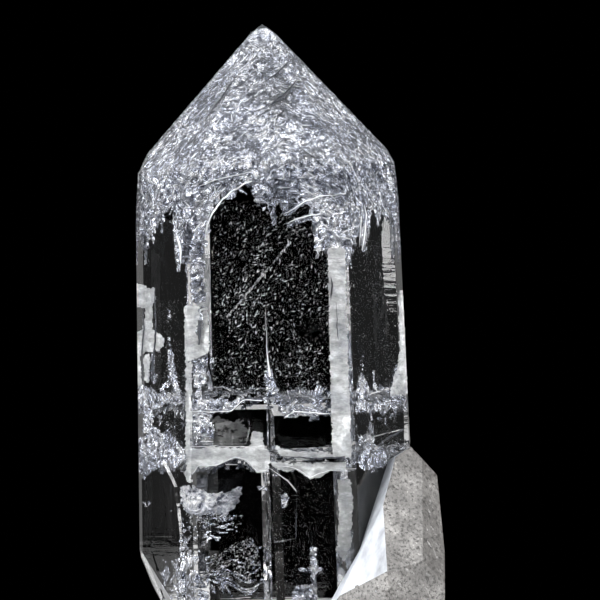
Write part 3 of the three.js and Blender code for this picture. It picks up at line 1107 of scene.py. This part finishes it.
def ledge(table):
    """A border for a crinkled band round the crystal between the table's top and bottom."""
    turns, tops, bottoms = zip(*table)

    def border(turn, depth):
        around = (turn + 180) % 360 - 180
        return np.minimum(depth - np.interp(around, turns, tops), np.interp(around, turns, bottoms) - depth)
    return border


def behind(y_front):
    """A border for a level crack that stops short of the front face."""
    def border(x, y):
        return y - y_front
    return border


add_camera()
add_studio()
crystal_skin()
side_crystal_skin()
silver = veil_material("silver_veil", 0.75, 0.14, 0.42, 0.22, (0.79, 0.81, 0.86), (1.0, 1.0, 1.0), 0.6)
pale = pale_veil("pale_veil", 1.08, 0.5)
grey = pale_veil("grey_veil", 0.62, 0.34)
# A near-black veil; at the root it is painted shade
near_black = pale_veil("near_black_veil", 0.16, 0.005)
light = veil_material("light_veil", 0.5, 0.22, 0.42, 0.22, (0.9, 0.91, 0.94), (1, 1, 1), 0.6, shade=0.25)
white = bright_specks()
satin = veil_material("satin_veil", 0.4, 0.3, 0.9, 0.4, (0.6, 0.62, 0.66), (0.9, 0.92, 0.96), 0.4)
wall_veil("edge_strip", silver, 51, 0.4, (27, 47), patch((-125, 36), (3.5, 11)), -0.1, turns=(-130, -121.5))
wall_veil("tip_veil", silver, 3, 0.2, (0.6, 31.0), arch, -0.6)
wall_veil("inner_veil", satin, 11, 2.0, (1.0, 25.0), inner_arch, -0.5)
LEDGES = (("upper_ledge", 61, (42, 51), UPPER_LEDGE), ("lower_ledge", 65, (51, 59), LOWER_LEDGE))
for name, seed, depths, table in LEDGES:
    border = ledge(table)
    wall_veil(name, silver, seed, 0.35, depths, border, 0.5, turns=(-20, 184), folds=FINE_FOLDS, hole=0.7)
level_crack("upper_level_crack", silver, 21, 33.0, behind(-2), 0.7, relief=0.6)
level_crack("lower_level_crack", silver, 25, 25.8, behind(-2), 0.65, tilt=(0.02, 0.03), relief=0.6)
# A cloud at the root, made near-black: painted shade that keeps the pale floor's light out of the lower
# crystal
level_crack("root_cloud_and_shade", near_black, 29, 2.5, behind(-14), -0.5, relief=0.8, grain=0.3)
left, right = patch((-150, 50.5), (26, 6.5)), patch((-36, 50), (20, 7))
wall_veil("left_cracks", silver, 31, 1.6, (44, 57), left, 0.75, turns=(-176, -127), hole=0.7)
wall_veil("right_cracks", silver, 35, 1.6, (42, 58), right, 0.8, turns=(-53, -20), hole=0.7)
front_veils("upper_front_ledge", silver, 71, UPPER_FRONT_LEDGE, 0.3, folds=FINE_FOLDS)
front_veils("lower_front_ledge", pale, 76, LOWER_FRONT_LEDGE, 0.4, ragged=0.8, fray=0.9)
front_veils("flank_ledges", silver, 79, FLANK_LEDGES, 0.4, folds=FINE_FOLDS, openness=-0.4)
front_veils("bright_tears", silver, 83, BRIGHT_TEARS, 0.3, folds=FINE_FOLDS)
front_veils("hanging_veil", silver, 111, HANGING, 0.2, folds=FINE_FOLDS)
front_veils("glaze", near_black, 115, GLAZE, 1.0, fray=5.0)
front_veils("low_cloud", light, 87, LOW_CLOUD, 0.8, folds=FINE_FOLDS)
front_veils("low_veil", silver, 91, LOW_VEIL, 1.5, folds=FINE_FOLDS, fray=8.0, openness=0.12)
front_veils("low_strip", silver, 95, LOW_STRIP, 0.4, folds=FINE_FOLDS, openness=-0.2)
front_veils("flank_patches", pale, 99, FLANK_PATCHES, 0.3, ragged=0.6, fray=0.9)
front_veils("band_patches", pale, 103, BAND_PATCHES, 0.2, ragged=0.3, fray=0.8)
front_veils("low_band", grey, 90, LOW_BAND, 0.25, ragged=0.4, fray=0.8)
front_veils("white_cracks", silver, 107, WHITE_CRACKS, 0.5, ragged=0.7, fray=1.6)

# Panes that carry the flakes: corners in pixels of the photograph, and millimetres behind the origin
WINDOW = [[(212, 200, -12), (329, 204, -12), (329, 398, -12), (212, 398, -12)]]
DRIFT = [[(206, 316, -11.5), (286, 212, -11.5), (312, 236, -11.5), (232, 338, -11.5)]]
SCRATCH = [[(226, 317, -11.5), (290, 241, -11.5), (291.5, 242.5, -11.5), (227.5, 318.5, -11.5)]]
LOW_HAZE = [
    [(196, 508, -11), (216, 514, -11), (243, 516, -11), (240, 524, -11), (226, 528, -11), (212, 538, -11),
     (200, 545, -11), (190, 540, -11), (196, 526, -11)],
    [(212, 556, -11), (230, 545, -11), (250, 536, -11), (258, 548, -11), (262, 566, -11), (262, 584, -11),
     (244, 580, -11), (228, 590, -11), (212, 588, -11), (204, 572, -11)],
]
LOW_WINDOW = [[(268, 472, -12), (334, 480, -12), (334, 590, -12), (268, 600, -12)]]
FLANK_WINDOWS = [
    [(142, 300, -7), (184, 300, -12.5), (184, 470, -12.5), (142, 470, -7)],
    [(352, 240, -12.5), (394, 240, -7), (398, 470, -7), (354, 440, -12.5)],
]
# Flakes to the square metre of pane, and sizes in metres
SPECK = {
    "Density": 9.5e6, "Seed": 5, "Depth": 8 * MM, "Clumping": 0.47, "Smallest": 0.1 * MM, "Largest": 0.6 * MM,
}
DUST = {**SPECK, "Clumping": 0.4, "Smallest": 0.05 * MM, "Largest": 0.15 * MM}
specks("window_specks", white, WINDOW, SPECK)
specks("window_dust", white, WINDOW, {**DUST, "Density": 2.4e7, "Seed": 6})
specks("drift_specks", white, DRIFT, {**SPECK, "Seed": 8, "Depth": 2 * MM})
scratch = {**SPECK, "Density": 1.6e8, "Seed": 12, "Depth": 0.1 * MM, "Clumping": 0.42, "Largest": 0.4 * MM}
specks("scratch_specks", white, SCRATCH, scratch)
haze = {**SPECK, "Density": 3e7, "Seed": 9, "Depth": 3 * MM, "Largest": 0.5 * MM}
specks("low_haze", white, LOW_HAZE, haze)
STROKES = {
    "Density": 7e5, "Seed": 20, "Spread": 2.0, "Smallest": 0.2 * MM, "Largest": 1.5 * MM, "Width": 0.14 * MM,
}
strokes("white_strokes", white, STROKES)
strokes("dark_strokes", dark_sliver(), {**STROKES, "Density": 1.5e6, "Seed": 21, "Width": 0.11 * MM})
specks("low_dust", white, LOW_WINDOW, {**DUST, "Density": 1.6e7, "Seed": 10})
specks("flank_dust", white, FLANK_WINDOWS, {**DUST, "Density": 1.4e7, "Seed": 11, "Depth": 4 * MM})

# Threads: the depth in millimetres, or FRONT, and then pixel, pixel and width in millimetres
THREAD = {"Step": 0.3 * MM, "Waves": 900.0, "Wander": 0.4 * MM}
SEAM = [
    [-11.5, (270, 472, 0.2), (275, 483, 0.35), (280, 500, 0.2)],
    [-11.5, (267, 512, 0.1), (270, 525, 0.3), (267, 545, 0.25), (265, 555, 0.3), (269, 580, 0.35),
     (270, 603, 0.35)],
    [-11.5, (290, 470, 0.3), (296, 480, 0.35), (293, 497, 0.25), (297, 528, 0.3), (292, 532, 0.3),
     (270, 532, 0.2)],
    [-11.5, (313, 531, 0.05), (313, 546, 0.35)],
    [-12, (233, 408, 0.15), (243, 417, 0.3), (249, 428, 0.3), (250, 446, 0.25)],
    [-12, (270, 412, 0.1), (267, 425, 0.35), (266, 440, 0.3)],
    [-12, (281, 416, 0.1), (277, 430, 0.4), (272, 446, 0.3)],
    [-12, (268, 452, 0.2), (300, 453.5, 0.3), (335, 454, 0.2)],
    [FRONT, (370, 446, 0.1), (384, 435, 0.35), (398, 426, 0.2)],
    [FRONT, (376, 452, 0.1), (390, 443, 0.3), (403, 436, 0.2)],
    [FRONT, (285, 461, 0.2), (310, 462, 0.3), (349, 461, 0.3)],
    [FRONT, (146, 470, 0.1), (147, 500, 0.2), (149, 540, 0.1)],
    [FRONT, (150, 545, 0.1), (158, 570, 0.3), (163, 600, 0.2)],
    [FRONT, (176, 548, 0.1), (182, 560, 0.3), (177, 578, 0.1)],
    [FRONT, (163, 486, 0.1), (166, 505, 0.15), (165, 522, 0.1)],
    [-11, (207, 575, 0.2), (222, 583, 0.3), (236, 600, 0.2)],
    [-12, (208, 345, 0.3), (209, 365, 0.4), (214, 385, 0.3)],
]
SLIVERS = [
    [FRONT, (284, 457, 0.2), (310, 458.5, 0.6), (345, 457, 0.5)],
    [FRONT, (372, 449, 0.1), (387, 439, 0.6), (402, 430, 0.4)],
    [FRONT, (331, 276, 0.05), (331.5, 285, 0.5), (331.5, 293, 0.45), (331, 301, 0.05)],
    [FRONT, (336, 302, 0.05), (337, 320, 0.25), (338, 334, 0.3), (339, 341, 0.05)],
    [FRONT, (199, 320, 0.5), (200, 332, 0.7), (199, 345, 0.4)],
    [FRONT, (328, 258, 0.1), (336, 258.5, 0.15), (344, 258, 0.1)],
    [FRONT, (329, 262, 0.1), (338, 262, 0.12), (345, 261.5, 0.1)],
    [FRONT, (155, 285, 0.1), (155, 300, 0.25), (156, 330, 0.3), (152, 382, 0.3)],
    [FRONT, (143, 308, 0.2), (144, 330, 0.4), (142, 355, 0.3), (143, 383, 0.2)],
    [FRONT, (288, 62, 0.1), (283, 67, 0.5), (276, 74, 0.35), (266, 80, 0.2), (255, 88, 0.1)],
    [FRONT, (298, 78, 0.1), (292, 87, 0.4), (284, 94, 0.6), (276, 100, 0.5), (268, 108, 0.1)],
    [FRONT, (240, 72, 0.1), (231, 84, 0.3), (222, 97, 0.4), (212, 110, 0.5), (205, 121, 0.1)],
    [FRONT, (286, 108, 0.1), (281, 114, 0.5), (274, 118, 0.1)],
    [FRONT, (263, 60, 0.3), (266, 62, 0.4), (264, 65, 0.2)],
    [FRONT, (300, 148, 0.2), (308, 154, 0.5), (316, 158, 0.2)],
    [FRONT, (212, 142, 0.1), (205, 150, 0.3), (199, 160, 0.1)],
    [FRONT, (352, 122, 0.1), (360, 133, 0.3), (366, 145, 0.1)],
]
RIMS = [
    [FRONT, (265, 308, 0.03), (266, 325, 0.08), (267, 345, 0.16), (268, 362, 0.3), (270, 376, 0.5)],
    [FRONT, (205, 240, 0.15), (207, 225, 0.3), (213, 212, 0.35), (222, 200, 0.3), (232, 191, 0.35),
     (243, 184, 0.3), (252, 181, 0.15)],
    [FRONT, (286, 224, 0.1), (296, 219, 0.35), (307, 216, 0.4), (320, 214, 0.2)],
    [FRONT, (284, 214, 0.1), (294, 209, 0.3), (305, 201, 0.4), (320, 196, 0.3), (345, 194, 0.2)],
    [FRONT, (200, 186, 0.1), (215, 180, 0.3), (232, 176, 0.25), (250, 172, 0.1)],
    [FRONT, (190, 447, 0.1), (215, 446, 0.25), (240, 447, 0.25), (262, 446, 0.1)],
    [FRONT, (190, 478, 0.15), (198, 466, 0.25), (216, 465, 0.25), (236, 457, 0.3), (246, 460, 0.25),
     (257, 472, 0.3), (268, 470, 0.15)],
    [FRONT, (192, 411, 0.1), (212, 412, 0.3), (231, 411, 0.3), (243, 400, 0.2), (262, 401, 0.3)],
    [FRONT, (284, 418, 0.1), (294, 411, 0.3), (318, 413, 0.25), (333, 414, 0.1)],
    [FRONT, (276, 466, 0.1), (295, 468, 0.25), (310, 477, 0.3), (330, 470, 0.25), (350, 471, 0.1)],
    [FRONT, (362, 250, 0.1), (364, 235, 0.3), (366, 215, 0.35), (364, 205, 0.1)],
    [FRONT, (359, 247, 0.1), (360, 232, 0.2), (361, 216, 0.2)],
    [FRONT, (181, 264, 0.1), (181, 250, 0.4), (178, 236, 0.3)],
]
threads("seam", silver, SEAM, THREAD)
threads("bright_rims", white, RIMS, THREAD)
threads("dark_slivers", dark_sliver(), SLIVERS, THREAD)
